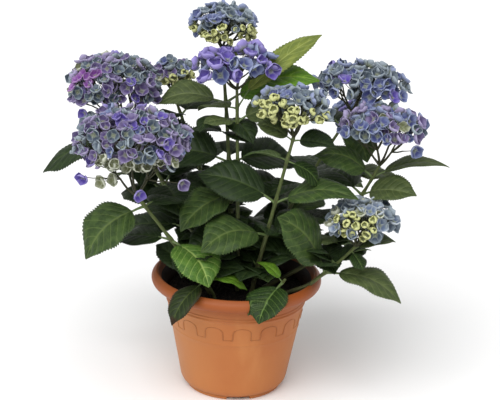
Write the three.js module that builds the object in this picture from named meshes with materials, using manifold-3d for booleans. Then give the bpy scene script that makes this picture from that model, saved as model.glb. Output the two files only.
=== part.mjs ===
// A potted hydrangea shrub: a moulded plastic pot, its compost, thirteen canes, the pairs of leaves that grow
// from them, and eleven flower heads. Millimetres, +Z up. The origin is the middle of the pot's flat underside,
// and the front is -Y.
import * as THREE from "three";
import { mergeVertices } from "three/addons/utils/BufferGeometryUtils.js";
import Module from "manifold-3d";

const wasm = await Module();
wasm.setup();

// Pot: radii and heights of its turned section.
const potHeight = 176.5;
const footRadius = 70;
const bendRadius = 80;
const bendHeight = 20;
const neckRadius = 101.5;
const neckHeight = 134;
const lipRadius = 125;
const mouthRadius = 113;
const wall = 3;
const floorHeight = 6;
const potSides = 24;
const notchCount = 4;
const notchWidth = 34;
const notchHeight = 4;
const notchReach = 16;
const notchTurn = 0.13;

// Compost: fills the pot to this height, clear of its wall.
const soilTop = 156;
const gap = 0.3;

// Canes: flat cut on the compost, tapering to the top.
const caneSides = 6;
const caneSteps = 5;
const caneTopShare = 0.62;

// Leaves: thin blades on a stalk, arched along the rib.
const bladeThick = 2.6;
const stalkHalf = 2.2;
const bladeArch = 0.1;
const collarTall = 9;
const collarOver = 2.4;
// Half width of a leaf along its length: stalk, shoulder, belly, tip.
const outline = [[0, 0], [0.18, 0.06], [0.42, 0.96], [0.72, 0.8], [1, 0.04]];

// Canes by where they stand. foot is [x, y] on the compost, top is [x, y, z]; bow over 1 leans out late and
// under 1 leans out early; girth is the radius at the foot. Each pair of leaves grows at one height on the cane,
// and a leaf is [turn, out, up, wide, roll]: its heading in degrees from +X, how far out and up its tip lies
// from the cane, its width, and how far it is rolled about its rib in degrees.
const canes = {
  rear_high: {
    foot: [-8, 12], top: [-32, 60, 496], bow: 1.6, girth: 3.5,
    pairs: {
      crown: { height: 476, leaves: [[16, 58, 22, 30, 10], [140, 60, -12, 40, 0]] },
      upper: { height: 415, leaves: [[175, 105, 4, 56, -20], [-5, 130, 54, 66, 30]] },
      spur: { height: 396, leaves: [[-122, 70, 4, 36, 0], [-60, 80, -8, 44, 0]] },
      middle: { height: 330, leaves: [[170, 112, 14, 78, -30], [22, 112, 0, 76, 24]] },
      lower: { height: 258, leaves: [[98, 150, 34, 78, 0], [-95, 62, -12, 56, 0]] },
    },
  },
  centre: {
    foot: [2, -18], top: [-8, 0, 452], bow: 1.3, girth: 3.4,
    pairs: {
      crown: { height: 420, leaves: [[36, 144, 104, 38, 22], [150, 66, -8, 46, 0]] },
      upper: { height: 403, leaves: [[10, 80, 32, 60, 30], [-150, 54, 8, 42, 0]] },
      middle: { height: 300, leaves: [[-150, 94, -38, 70, -15], [42, 92, 2, 64, 20]] },
      lower: { height: 222, leaves: [[-152, 80, 4, 64, -28], [10, 86, 0, 62, 28]] },
    },
  },
  right_front: {
    foot: [22, -28], top: [74, -50, 400], bow: 1, girth: 3.4,
    pairs: {
      crown: { height: 390, leaves: [[-12, 62, 2, 46, 20], [170, 50, 26, 38, -20]] },
      upper: { height: 361, leaves: [[-167, 62, 18, 34, 30], [-8, 52, -30, 40, 20]] },
      middle: { height: 293, leaves: [[-23, 122, 38, 58, 22], [179, 108, 48, 68, -38]] },
      lower: { height: 245, leaves: [[-140, 116, 6, 66, -26], [25, 84, 8, 60, 20]] },
      foot: { height: 192, leaves: [[-70, 48, 2, 36, 0], [120, 64, 14, 52, 0]] },
    },
  },
  right_far: {
    foot: [24, 10], top: [160, 55, 408], bow: 1.2, girth: 3.2,
    pairs: {
      upper: { height: 385, leaves: [[-52, 64, -30, 54, 0], [118, 95, 8, 60, 0]] },
      middle: { height: 300, leaves: [[38, 120, 4, 72, 0], [-150, 70, -5, 54, 0]] },
    },
  },
  right_low: {
    foot: [34, -8], top: [199, -18, 352], bow: 0.55, girth: 3.2,
    pairs: {
      upper: { height: 331, leaves: [[-178, 80, 40, 60, -25], [9, 112, 24, 48, 0]] },
      middle: { height: 304, leaves: [[-30, 84, 22, 54, 30], [128, 106, 10, 64, 0]] },
      lower: { height: 238, leaves: [[62, 125, -14, 72, 0], [-125, 50, 8, 46, 0]] },
    },
  },
  low_right: {
    foot: [58, -30], top: [168, -70, 247], bow: 0.62, girth: 3.1,
    pairs: {
      upper: { height: 237, leaves: [[8, 64, 20, 42, 10], [-45, 28, -18, 30, 0]] },
      lower: { height: 198, leaves: [[-16, 116, -20, 62, 8], [-138, 88, 104, 72, -75]] },
    },
  },
  left_front: {
    foot: [-36, -32], top: [-143, -76, 314], bow: 1, girth: 3.4,
    pairs: {
      upper: { height: 297, leaves: [[-154, 92, -62, 84, -20], [49, 72, -4, 50, 0]] },
      lower: { height: 240, leaves: [[-50, 90, -34, 72, 0], [167, 92, -8, 60, -10]] },
    },
  },
  left_far: {
    foot: [-28, 18], top: [-172, 66, 378], bow: 1.1, girth: 3.4,
    pairs: {
      upper: { height: 350, leaves: [[171, 148, -54, 60, -16], [5, 98, -6, 74, 35]] },
      middle: { height: 290, leaves: [[74, 118, 8, 74, 0], [-72, 88, -12, 72, 10]] },
      lower: { height: 226, leaves: [[165, 132, -16, 74, -12], [-12, 80, 4, 64, 30]] },
    },
  },
  left_mid: {
    foot: [-12, 38], top: [-98, 104, 400], bow: 1.2, girth: 3.1,
    pairs: {
      upper: { height: 380, leaves: [[-124, 50, 12, 42, 0], [70, 95, 6, 60, 0]] },
      middle: { height: 300, leaves: [[96, 120, 6, 76, 0], [-45, 90, -4, 72, 10]] },
    },
  },
  rear_left: {
    foot: [-30, 48], top: [-146, 186, 264], bow: 1, girth: 3.2,
    pairs: {
      upper: { height: 240, leaves: [[40, 115, 4, 72, 0], [150, 85, 30, 62, 0]] },
      lower: { height: 200, leaves: [[140, 120, -10, 70, 0], [-30, 60, 14, 54, 25]] },
    },
  },
  rear_right: {
    foot: [34, 46], top: [182, 170, 322], bow: 1, girth: 3.2,
    pairs: {
      upper: { height: 280, leaves: [[-12, 105, 2, 68, 0], [125, 115, 0, 72, 0]] },
      lower: { height: 216, leaves: [[98, 130, -16, 76, 0], [-85, 62, 6, 50, 0]] },
    },
  },
  shoot_left: {
    foot: [-28, -62], top: [-46, -88, 200], bow: 1, girth: 2.5,
    pairs: { top: { height: 192, leaves: [[-131, 72, -42, 42, 0], [5, 60, -8, 36, 0]] } },
  },
  shoot_right: {
    foot: [50, -55], top: [70, -82, 198], bow: 1, girth: 2.5,
    pairs: { top: { height: 190, leaves: [[-118, 70, -36, 60, 0], [157, 38, 28, 30, 0]] } },
  },
};

// Flower heads by cane: centre, half width along X, half depth along Y and height of the dome.
const heads = {
  rear_high: { centre: [-28, 60, 531], halfX: 52, halfY: 50, tall: 54 },
  centre: { centre: [-10, 0, 488], halfX: 68, halfY: 50, tall: 58 },
  left_far: { centre: [-189, 72, 433], halfX: 73, halfY: 68, tall: 82 },
  left_mid: { centre: [-104, 110, 444], halfX: 36, halfY: 36, tall: 40 },
  left_front: { centre: [-150, -80, 397], halfX: 85, halfY: 74, tall: 78 },
  right_front: { centre: [71, -50, 444], halfX: 58, halfY: 54, tall: 48 },
  right_far: { centre: [173, 60, 449], halfX: 73, halfY: 64, tall: 56 },
  right_low: { centre: [200, -20, 413], halfX: 67, halfY: 58, tall: 44 },
  low_right: { centre: [172, -70, 287], halfX: 52, halfY: 48, tall: 54 },
  rear_left: { centre: [-152, 192, 306], halfX: 58, halfY: 56, tall: 50 },
  rear_right: { centre: [192, 176, 366], halfX: 56, halfY: 54, tall: 46 },
};
const headAround = 10;
const headRings = 6;
const headUneven = 0.06;
const headFullness = 0.72;
const headStalk = 2.4;

const up = new THREE.Vector3(0, 0, 1);
const colours = { pot: 0xb4683a, soil: 0x2b211a, cane: 0x55642f, leaf: 0x3c6432, head: 0x7f86c9 };

function solidOf(geometry) {
  const bare = geometry.index ? geometry.toNonIndexed() : geometry.clone();
  bare.deleteAttribute("normal");
  bare.deleteAttribute("uv");
  const merged = mergeVertices(bare, 1e-4);
  const vertProperties = merged.getAttribute("position").array;
  return new wasm.Manifold(new wasm.Mesh({ numProp: 3, vertProperties, triVerts: new Uint32Array(merged.index.array) }));
}

function geometryOf(solid) {
  const mesh = solid.getMesh();
  const points = new Float32Array(mesh.numVert * 3);
  for (let i = 0; i < mesh.numVert; i++) {
    points.set(mesh.vertProperties.subarray(i * mesh.numProp, i * mesh.numProp + 3), i * 3);
  }
  const geometry = new THREE.BufferGeometry();
  geometry.setAttribute("position", new THREE.BufferAttribute(points, 3));
  geometry.setIndex(new THREE.BufferAttribute(mesh.triVerts, 1));
  return geometry;
}

// Moves every vertex of a three.js shape by a function that changes it in place.
function reshape(geometry, move) {
  const places = geometry.getAttribute("position");
  const point = new THREE.Vector3();
  for (let i = 0; i < places.count; i++) {
    point.fromBufferAttribute(places, i);
    move(point);
    places.setXYZ(i, point.x, point.y, point.z);
  }
  return geometry;
}

function potSection() {
  const section = new THREE.Path();
  const bead = neckRadius + 3;
  section.moveTo(0, 0);
  section.lineTo(footRadius, 0);
  section.quadraticCurveTo(footRadius + 7, 6, bendRadius, bendHeight);
  section.lineTo(neckRadius, neckHeight);
  section.quadraticCurveTo(bead + 3, neckHeight + 4, bead, neckHeight + 9);
  section.quadraticCurveTo(lipRadius - 5, neckHeight + 10, lipRadius, neckHeight + 26);
  section.quadraticCurveTo(lipRadius + 1, potHeight - 4, mouthRadius + 4, potHeight);
  section.lineTo(mouthRadius, potHeight);
  section.quadraticCurveTo(mouthRadius - 4, potHeight - 1, neckRadius, neckHeight + 24);
  section.lineTo(neckRadius - wall, neckHeight);
  section.lineTo(bendRadius - wall, bendHeight);
  section.lineTo(footRadius, floorHeight);
  section.lineTo(0, floorHeight);
  return section.getPoints(3);
}

function turned(points, sides) {
  return new THREE.LatheGeometry(points, sides).rotateX(Math.PI / 2);
}

// The pot, with a drainage notch through its foot at each quarter.
function makePot() {
  let pot = solidOf(turned(potSection(), potSides));
  for (let i = 0; i < notchCount; i++) {
    const notch = new THREE.BoxGeometry(2 * notchReach, notchWidth, 2 * notchHeight);
    notch.translate(footRadius + notchReach / 2, 0, 0).rotateZ(((i - 1) * 2 * Math.PI) / notchCount + notchTurn);
    pot = pot.subtract(solidOf(notch));
  }
  return pot;
}

function makeSoil() {
  const clear = gap + 0.3;
  const slope = (neckRadius - bendRadius) / (neckHeight - bendHeight);
  const edge = neckRadius - wall - clear;
  const points = [
    [0, floorHeight + gap],
    [footRadius - clear, floorHeight + gap],
    [bendRadius - wall - clear, bendHeight],
    [edge, neckHeight],
    [edge + slope * 8, soilTop - 4],
    [edge - 12, soilTop],
    [0, soilTop],
  ];
  return solidOf(turned(points.map(([r, z]) => new THREE.Vector2(r, z)), potSides));
}

// A point on a cane's centreline, share 0 at the compost and 1 at the top.
function canePoint(cane, share) {
  const lean = share ** cane.bow;
  return new THREE.Vector3(
    THREE.MathUtils.lerp(cane.foot[0], cane.top[0], lean),
    THREE.MathUtils.lerp(cane.foot[1], cane.top[1], lean),
    THREE.MathUtils.lerp(soilTop + gap, cane.top[2], share),
  );
}

function canePointAt(cane, height) {
  return canePoint(cane, (height - soilTop - gap) / (cane.top[2] - soilTop - gap));
}

// A tapering limb along a cane; grow makes it fatter all round.
function makeCane(cane, grow = 0) {
  const limb = new THREE.CylinderGeometry(caneTopShare, 1, 1, caneSides, caneSteps).rotateX(Math.PI / 2);
  reshape(limb, (p) => {
    const share = p.z + 0.5;
    const centre = canePoint(cane, share);
    const ahead = canePoint(cane, Math.min(share + 0.05, 1.05)).sub(canePoint(cane, Math.max(share - 0.05, 0)));
    const radius = Math.hypot(p.x, p.y);
    const ring = new THREE.Vector3(p.x, p.y, 0);
    ring.multiplyScalar(radius ? (radius * cane.girth + grow) / radius : 0);
    if (share > 0.01) ring.applyQuaternion(new THREE.Quaternion().setFromUnitVectors(up, ahead.normalize()));
    p.copy(centre).add(ring);
    if (share < 0.01) p.z -= grow;
    if (share > 0.99) p.z += grow;
  });
  return solidOf(limb);
}

// One leaf from a point on a cane: a thin box whose rows follow the arched rib.
function makeLeaf(root, [turn, out, rise, wide, roll], grow) {
  const heading = THREE.MathUtils.degToRad(turn);
  const chord = new THREE.Vector3(out * Math.cos(heading), out * Math.sin(heading), rise);
  const along = chord.clone().normalize();
  const side = new THREE.Vector3().crossVectors(along, up).normalize();
  const face = new THREE.Vector3().crossVectors(side, along);
  const bow = face.clone().multiplyScalar(4 * bladeArch * chord.length());
  side.applyAxisAngle(along, THREE.MathUtils.degToRad(roll));
  face.applyAxisAngle(along, THREE.MathUtils.degToRad(roll));
  const rows = outline.length - 1;
  return reshape(new THREE.BoxGeometry(2, 1, 2, 1, rows, 1), (p) => {
    const [share, width] = outline[Math.round((p.y + 0.5) * rows)];
    const half = Math.max(width * wide / 2, stalkHalf) + grow;
    const lift = p.z * (bladeThick / 2 + grow);
    const centre = root.clone().addScaledVector(chord, share).addScaledVector(bow, share * (1 - share));
    p.copy(centre.addScaledVector(side, p.x * half).addScaledVector(face, lift));
  });
}

// Two opposite leaves and the swollen node that joins them round the cane.
function makePair(cane, { height, leaves }, grow = 0) {
  const root = canePointAt(cane, height);
  const radius = cane.girth + collarOver + grow;
  const collar = new THREE.CylinderGeometry(radius, radius, collarTall + 2 * grow, caneSides + 1);
  collar.rotateX(Math.PI / 2).translate(root.x, root.y, root.z);
  return leaves.reduce((pair, leaf) => pair.add(solidOf(makeLeaf(root, leaf, grow))), solidOf(collar));
}

// A flower head: an uneven dome, flatter below, on the stalk that leads to it from the top of its cane.
function makeHead(cane, { centre, halfX, halfY, tall }, grow = 0) {
  const phase = centre[0] * 0.07 + centre[2] * 0.05;
  const dome = reshape(new THREE.SphereGeometry(1, headAround, headRings).rotateX(Math.PI / 2), (p) => {
    const around = Math.atan2(p.y, p.x);
    const lump = 1 + headUneven * (Math.sin(3 * around + phase) + Math.sin(5 * around + 2 * phase + 3 * p.z));
    const half = p.z > 0 ? 0.56 * tall : 0.44 * tall;
    const rim = Math.hypot(p.x, p.y) ** headFullness * lump;
    p.set(Math.cos(around) * rim * (halfX + grow), Math.sin(around) * rim * (halfY + grow), p.z * (half + grow));
    p.add(new THREE.Vector3(...centre));
  });
  const start = new THREE.Vector3(...cane.top).add(new THREE.Vector3(0, 0, gap));
  const end = new THREE.Vector3(...centre);
  const stalk = new THREE.CylinderGeometry(3 * headStalk, headStalk, 1, caneSides).rotateX(Math.PI / 2);
  reshape(stalk, (p) => {
    const share = p.z + 0.5;
    p.set(p.x, p.y, 0).multiplyScalar(1 + grow / headStalk).add(start.clone().lerp(end, share));
  });
  return solidOf(dome).add(solidOf(stalk));
}

const plant = new THREE.Group();

function add(name, solid, colour, roughness) {
  const material = new THREE.MeshStandardMaterial({ color: colour, roughness, metalness: 0 });
  const mesh = new THREE.Mesh(geometryOf(solid), material);
  mesh.name = name;
  plant.add(mesh);
}

// The largest single body of a solid that its neighbours have cut.
function largest(solid) {
  return solid.decompose().sort((a, b) => b.volume() - a.volume())[0];
}

// Each new piece is cut clear of every grown neighbour before it, so that nothing overlaps.
const grownBefore = [];
function addCut(name, solid, grown, colour, roughness) {
  const cut = grownBefore.reduce((left, other) => left.subtract(other), solid);
  add(name, largest(cut), colour, roughness);
  grownBefore.push(grown);
}

add("pot", makePot(), colours.pot, 0.55);
add("potting_soil", makeSoil(), colours.soil, 0.95);
for (const [spread, shift] of [[-gap, 0], [0, -gap], [0, gap], [gap, 0]]) {
  const swell = 1 + (1.5 * spread) / neckRadius;
  grownBefore.push(solidOf(turned(potSection(), potSides).scale(swell, swell, 1).translate(0, 0, shift)));
}
for (const [name, cane] of Object.entries(canes)) {
  addCut("cane_" + name, makeCane(cane), makeCane(cane, gap), colours.cane, 0.7);
}
for (const [name, head] of Object.entries(heads)) {
  addCut("head_" + name, makeHead(canes[name], head), makeHead(canes[name], head, gap), colours.head, 0.8);
}
for (const [name, cane] of Object.entries(canes)) {
  for (const [place, pair] of Object.entries(cane.pairs)) {
    addCut(`leaves_${name}_${place}`, makePair(cane, pair), makePair(cane, pair, gap), colours.leaf, 0.6);
  }
}

export default plant;
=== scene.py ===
import math
import random

import bmesh
import bpy
import numpy as np
from mathutils import Matrix, Vector, noise


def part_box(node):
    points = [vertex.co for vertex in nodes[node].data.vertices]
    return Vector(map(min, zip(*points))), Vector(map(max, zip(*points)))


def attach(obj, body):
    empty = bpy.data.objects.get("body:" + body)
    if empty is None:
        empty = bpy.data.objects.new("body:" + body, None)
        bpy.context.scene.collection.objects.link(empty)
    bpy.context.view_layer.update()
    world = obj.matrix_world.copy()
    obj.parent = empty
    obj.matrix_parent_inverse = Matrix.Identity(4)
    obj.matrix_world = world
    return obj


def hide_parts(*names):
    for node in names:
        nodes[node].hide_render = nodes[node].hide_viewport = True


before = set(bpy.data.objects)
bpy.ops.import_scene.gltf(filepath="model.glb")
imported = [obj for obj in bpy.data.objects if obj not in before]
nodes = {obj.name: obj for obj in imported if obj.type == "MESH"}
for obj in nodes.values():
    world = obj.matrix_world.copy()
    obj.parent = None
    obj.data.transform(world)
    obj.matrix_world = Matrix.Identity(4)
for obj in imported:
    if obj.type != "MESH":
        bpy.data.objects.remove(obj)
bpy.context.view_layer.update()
mm = 0.001
up = np.array([0.0, 0.0, 1.0])
anyTurn = (0, 6.28)  # radians, for a random direction
print("frame loaded:", len(nodes), "nodes")


def nodeTree(name, roughness, specular=0.5):
    material = bpy.data.materials.new(name)
    material.use_nodes = True
    tree = material.node_tree
    shader = tree.nodes["Principled BSDF"]
    shader.inputs["Roughness"].default_value = roughness
    shader.inputs["Specular IOR Level"].default_value = specular
    return material, tree, shader


def addNode(tree, kind, settings=None, **links):
    # settings are the node's own properties; links are input sockets given as numbers, colours or sockets
    made = tree.nodes.new(kind)
    for key, value in (settings or {}).items():
        setattr(made, key, value)
    for key, value in links.items():
        socket = made.inputs[int(key[1:]) if key[0] == "i" and key[1:].isdigit() else key.replace("_", " ")]
        if isinstance(value, bpy.types.NodeSocket):
            tree.links.new(value, socket)
        else:
            socket.default_value = value
    return made


def sums(tree, operation, a, b=0.0, c=0.0):
    made = addNode(tree, "ShaderNodeMath", {"operation": operation}, i0=a, i1=b, i2=c)
    return made.outputs[0]


def ramp(tree, factor, stops):
    made = addNode(tree, "ShaderNodeValToRGB", i0=factor)
    points = made.color_ramp.elements
    while len(points) < len(stops):
        points.new(0.5)
    for point, (place, colour) in zip(points, stops):
        point.position = place
        point.color = (*colour, 1)
    return made.outputs["Color"]


def blend(tree, factor, a, b):
    made = addNode(tree, "ShaderNodeMix", {"data_type": "RGBA"})
    for socket, value in ((made.inputs[0], factor), (made.inputs[6], a), (made.inputs[7], b)):
        if isinstance(value, bpy.types.NodeSocket):
            tree.links.new(value, socket)
        else:
            socket.default_value = (*value, 1) if isinstance(value, tuple) else value
    return made.outputs[2]


def fade(tree, value, low, high, start=0.0, end=1.0):
    made = addNode(tree, "ShaderNodeMapRange", {"interpolation_type": "SMOOTHSTEP"}, i0=value)
    for socket, number in zip(made.inputs[1:5], (low, high, start, end)):
        socket.default_value = number
    return made.outputs[0]


def uvOf(tree, layer):
    read = addNode(tree, "ShaderNodeUVMap", {"uv_map": layer})
    split = addNode(tree, "ShaderNodeSeparateXYZ", i0=read.outputs[0])
    return read.outputs[0], split.outputs[0], split.outputs[1]


def objectPlace(tree):
    return addNode(tree, "ShaderNodeTexCoord").outputs["Object"]


def stretch(tree, place, scale):
    return addNode(tree, "ShaderNodeMapping", Vector=place, Scale=scale).outputs[0]


def outward(tree, share):
    # From 0 in the middle to 1 at both edges
    return sums(tree, "ABSOLUTE", sums(tree, "MULTIPLY_ADD", share, 2.0, -1.0))


def clouds(tree, place, scale, detail):
    return addNode(tree, "ShaderNodeTexNoise", Vector=place, Scale=scale, Detail=detail).outputs["Fac"]


def finishLook(tree, shader, colour, height=None, strength=0.0, distance=0.0):
    tree.links.new(colour, shader.inputs["Base Color"])
    if height is not None:
        made = addNode(tree, "ShaderNodeBump", Strength=strength, Distance=distance, Height=height)
        tree.links.new(made.outputs[0], shader.inputs["Normal"])


def placesOf(verts):
    return np.array([v.co[:] for v in verts])


def arraysOf(bm):
    bm.verts.index_update()
    faces = list(bm.faces)
    return {
        "points": placesOf(bm.verts),
        "corners": np.array([v.index for f in faces for v in f.verts]),
        "sizes": np.array([len(f.verts) for f in faces]),
        "normals": np.array([f.normal[:] for f in faces]),
        "looks": np.array([f.material_index for f in faces]),
    }


def makePiece(name, parts, materials, replaced=(), cells=(1, 1), smooth=True):
    # parts are (shape, points, look, cell): cell is the part of the baked image that its faces share
    shapes, places, firstLooks, ownCells = zip(*parts)
    points = np.concatenate(places)
    starts = np.cumsum([0] + [len(p) for p in places])
    corners = np.concatenate([shape["corners"] + start for shape, start in zip(shapes, starts)])
    sizes = np.concatenate([shape["sizes"] for shape in shapes])
    looks = np.concatenate([shape["looks"] + first for shape, first in zip(shapes, firstLooks)])
    plain = np.concatenate([shape["uv"] for shape in shapes])
    margin = 0.02  # of a cell, kept clear on every side
    baked = np.concatenate([margin + (1 - 2 * margin) * shape["bake"] + [cell % cells[0], cell // cells[0]]
                            for shape, cell in zip(shapes, ownCells)]) / np.array(cells, float)
    mesh = bpy.data.meshes.new(name)
    mesh.vertices.add(len(points))
    mesh.vertices.foreach_set("co", points.astype(np.float32).ravel())
    mesh.loops.add(len(corners))
    mesh.loops.foreach_set("vertex_index", corners.astype(np.int32))
    mesh.polygons.add(len(sizes))
    mesh.polygons.foreach_set("loop_start", np.cumsum([0] + list(sizes[:-1])).astype(np.int32))
    mesh.update(calc_edges=True)
    for material in materials:
        mesh.materials.append(material)
    mesh.polygons.foreach_set("material_index", looks.astype(np.int32))
    for layer, spots in (("partUV", plain), ("OFBake", baked)):
        mesh.uv_layers.new(name=layer).data.foreach_set("uv", spots.astype(np.float32).ravel())
    mesh.validate()
    if smooth:
        mesh.shade_smooth()
    finishPiece(name, mesh, replaced)


def meshOf(bm, name):
    mesh = bpy.data.meshes.new(name)
    bm.to_mesh(mesh)
    bm.free()
    return mesh


def stand(name, data):
    made = bpy.data.objects.new(name, data)
    bpy.context.scene.collection.objects.link(made)
    return made


def finishPiece(name, mesh, replaced=()):
    piece = stand(name, mesh)
    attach(piece, "root")
    if replaced:
        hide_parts(*replaced)
    print(name, len(mesh.polygons), "faces")


def splitBake(shape, under, half, gutter=0.02):
    # Upper faces bake on the left of their cell and the others on the right
    shift = np.repeat(under, shape["sizes"]) * (half + gutter)
    shape["bake"] = np.stack([shift + half * shape["uv"][:, 0], shape["uv"][:, 1]], 1)


def gridShell(across, along, spread=1.0):
    # A closed thin shell in x -1..1, y 0..1 and z 0 (under) or 1 (upper)
    bm = bmesh.new()
    bmesh.ops.create_grid(bm, x_segments=across, y_segments=along, size=1)
    bmesh.ops.solidify(bm, geom=bm.faces[:], thickness=-1)
    low = min(v.co.z for v in bm.verts)
    for v in bm.verts:
        v.co.x = math.copysign(abs(v.co.x) ** spread, v.co.x)
        v.co.y = (v.co.y + 1) / 2
        v.co.z = 1.0 if v.co.z - low > 0.5 else 0.0
    bmesh.ops.recalc_face_normals(bm, faces=bm.faces[:])
    shape = arraysOf(bm)
    bm.free()
    corner = shape["points"][shape["corners"]]
    under = shape["normals"][:, 2] < -0.5
    shape["uv"] = np.stack([(corner[:, 0] + 1) / 2, corner[:, 1]], 1)
    splitBake(shape, under, 0.49)
    shape["looks"] = under.astype(int)  # the underside takes the next material
    return shape


def tubeShape(sides, steps):
    # A closed tube round z from 0 to 1, radius 1
    bm = bmesh.new()
    bmesh.ops.create_circle(bm, cap_ends=True, segments=sides, radius=1)
    ring = bm.faces[:]
    for _ in range(steps):
        made = bmesh.ops.extrude_face_region(bm, geom=ring)["geom"]
        ring = [g for g in made if isinstance(g, bmesh.types.BMFace)]
        raised = [g for g in made if isinstance(g, bmesh.types.BMVert)]
        bmesh.ops.translate(bm, verts=raised, vec=(0, 0, 1 / steps))
    nearly = 1e-3 / steps
    flat = [f for f in bm.faces if max(v.co.z for v in f.verts) - min(v.co.z for v in f.verts) < nearly]
    inner = [f for f in flat if nearly < f.calc_center_median().z < 1 - nearly]
    bmesh.ops.delete(bm, geom=inner, context="FACES_ONLY")  # the caps that each extrusion leaves inside
    bmesh.ops.recalc_face_normals(bm, faces=bm.faces[:])
    shape = arraysOf(bm)
    bm.free()
    corner = shape["points"][shape["corners"]]
    turn = np.arctan2(corner[:, 1], corner[:, 0]) / (2 * math.pi) % 1.0
    face = np.repeat(np.arange(len(shape["sizes"])), shape["sizes"])
    widest = np.zeros(len(shape["sizes"]))
    np.maximum.at(widest, face, turn)
    turn = np.where((widest[face] > 0.75) & (turn < 0.25), turn + 1, turn)  # the faces that cross the seam
    shape["uv"] = np.stack([turn, corner[:, 2]], 1)
    shape["bake"] = np.stack([turn * 0.8, corner[:, 2]], 1)  # leaves room in the cell for those faces
    return shape


def unit(v):
    return v / max(np.linalg.norm(v), 1e-12)


def alongPath(shape, path, radii, bulge=None):
    # Bends a tube shape along a smooth path of points; radii are read at the same places
    places = shape["points"]
    share = places[:, 2]
    path = np.asarray(path, float)
    step = 0.02  # of the path, to either side, for its direction
    centre = smoothRead(path, share)
    along = smoothRead(path, np.minimum(share + step, 1)) - smoothRead(path, np.maximum(share - step, 0))
    along /= np.linalg.norm(along, axis=1)[:, None]
    guide = np.array([1.0, 0.0, 0.0]) if abs(unit(path[-1] - path[0])[0]) < 0.8 else np.array([0.0, 1.0, 0.0])
    side = np.cross(along, guide)
    side /= np.linalg.norm(side, axis=1)[:, None]
    other = np.cross(along, side)
    radius = np.interp(share, np.linspace(0, 1, len(radii)), radii)
    if bulge is not None:
        radius = radius * bulge(share, np.arctan2(places[:, 1], places[:, 0]))
    return centre + radius[:, None] * (places[:, :1] * other + places[:, 1:2] * side)


def smoothRead(path, share):
    # Catmull-Rom through the points of the path
    last = len(path) - 1
    place = np.clip(share, 0, 1) * last
    i = np.clip(np.floor(place).astype(int), 0, last - 1)
    t = (place - i)[:, None]
    p0, p1, p2, p3 = (path[np.clip(i + k, 0, last)] for k in (-1, 0, 1, 2))
    return 0.5 * (2 * p1 + (p2 - p0) * t + (2 * p0 - 5 * p1 + 4 * p2 - p3) * t**2
                  + (3 * p1 - p0 - 3 * p2 + p3) * t**3)


def cadMesh(node):
    bm = bmesh.new()
    bm.from_mesh(nodes[node].data)
    bmesh.ops.remove_doubles(bm, verts=bm.verts[:], dist=1e-5)
    return bm


def caneLine(node, ringCount=6):
    # The middle of each ring of a cane from its foot up, and its radius there, which tapers evenly
    bm = cadMesh(node)
    points = placesOf(bm.verts)
    bm.free()
    points = points[np.argsort(points[:, 2])]
    rise = np.diff(points[:, 2])
    breaks = np.sort(np.argsort(rise)[1 - ringCount:]) + 1
    rings = np.split(points, breaks)
    middles = np.array([(ring.min(0) + ring.max(0)) / 2 for ring in rings])
    foot, tip = (np.linalg.norm(rings[i] - middles[i], axis=1).max() for i in (0, -1))
    return middles, np.linspace(foot, tip, len(rings))


canes = {name[5:]: caneLine(name) for name in nodes if name.startswith("cane_")}


def nearestOn(line, point):
    best = None
    for a, b in zip(line[:-1], line[1:]):
        share = np.clip(np.dot(point - a, b - a) / np.dot(b - a, b - a), 0, 1)
        place = a + share * (b - a)
        gap = np.linalg.norm(point - place)
        if best is None or gap < best[0]:
            best = (gap, place, unit(b - a))
    return best


readSet = {
    "joint": 8.6, "rootBand": 6, "tipBand": 3.5, "edgeBand": 3,  # mm from the cane, and of what is averaged
    "rows": (0.42, 0.72), "rowBand": 0.14,                       # shares of the leaf
}


def leavesOf(node, caneName, look):
    # Root, chord, arch, side direction and breadth of each leaf of a pair
    line = canes[caneName][0]
    bm = cadMesh(node)
    near = [v for v in bm.verts if nearestOn(line, np.array(v.co[:]))[0] < look["joint"] * mm]
    spots = np.array([nearestOn(line, np.array(v.co[:]))[1] for v in near])
    root = spots[np.abs(spots[:, 2] - np.median(spots[:, 2])) < look["rootBand"] * mm].mean(0)
    bmesh.ops.delete(bm, geom=near, context="VERTS")
    found, left = [], set(bm.verts)
    while left:
        heap, group = [left.pop()], []
        while heap:
            v = heap.pop()
            group.append(np.array(v.co[:]))
            for edge in v.link_edges:
                other = edge.other_vert(v)
                if other in left:
                    left.remove(other)
                    heap.append(other)
        found.append(np.array(group))
    bm.free()
    found = sorted(found, key=lambda g: -np.linalg.norm(g - root, axis=1).max())[:2]
    leaves = []
    for points in found:
        away = np.linalg.norm(points - root, axis=1)
        tip = points[away > away.max() - look["tipBand"] * mm].mean(0)
        chord = tip - root
        share = (points - root) @ chord / (chord @ chord)
        rows = []
        for place in look["rows"]:
            row = points[np.abs(share - place) < look["rowBand"]]
            if len(row) < 4:
                continue
            flat = row - row.mean(0)
            flat = flat - np.outer(flat @ unit(chord), unit(chord))
            side = np.linalg.svd(flat)[2][0]
            reach, band = flat @ side, look["edgeBand"] * mm
            a, b = row[reach > reach.max() - band].mean(0), row[reach < reach.min() + band].mean(0)
            rows.append((place, (a + b) / 2, a - b))
        if not rows:
            continue
        side = rows[0][2]
        breadth = max(np.linalg.norm(r[2]) for r in rows)
        arch = np.mean([(r[1] - root - chord * r[0]) / (r[0] * (1 - r[0])) for r in rows], axis=0)
        arch -= unit(chord) * (arch @ unit(chord))
        side = unit(side - unit(chord) * (side @ unit(chord)))
        face = np.cross(side, unit(chord))
        if face[2] < 0:
            side = -side
        leaves.append({"root": root, "chord": chord, "arch": arch, "side": side, "breadth": breadth,
                       "cane": caneName})
    return leaves


leafNodes = sorted(n for n in nodes if n.startswith("leaves_"))
caneOf = {n: max((c for c in canes if n.startswith("leaves_" + c + "_")), key=len) for n in leafNodes}
leaves = [leaf for n in leafNodes for leaf in leavesOf(n, caneOf[n], readSet)]
print("leaves read from the frame:", len(leaves))


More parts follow.
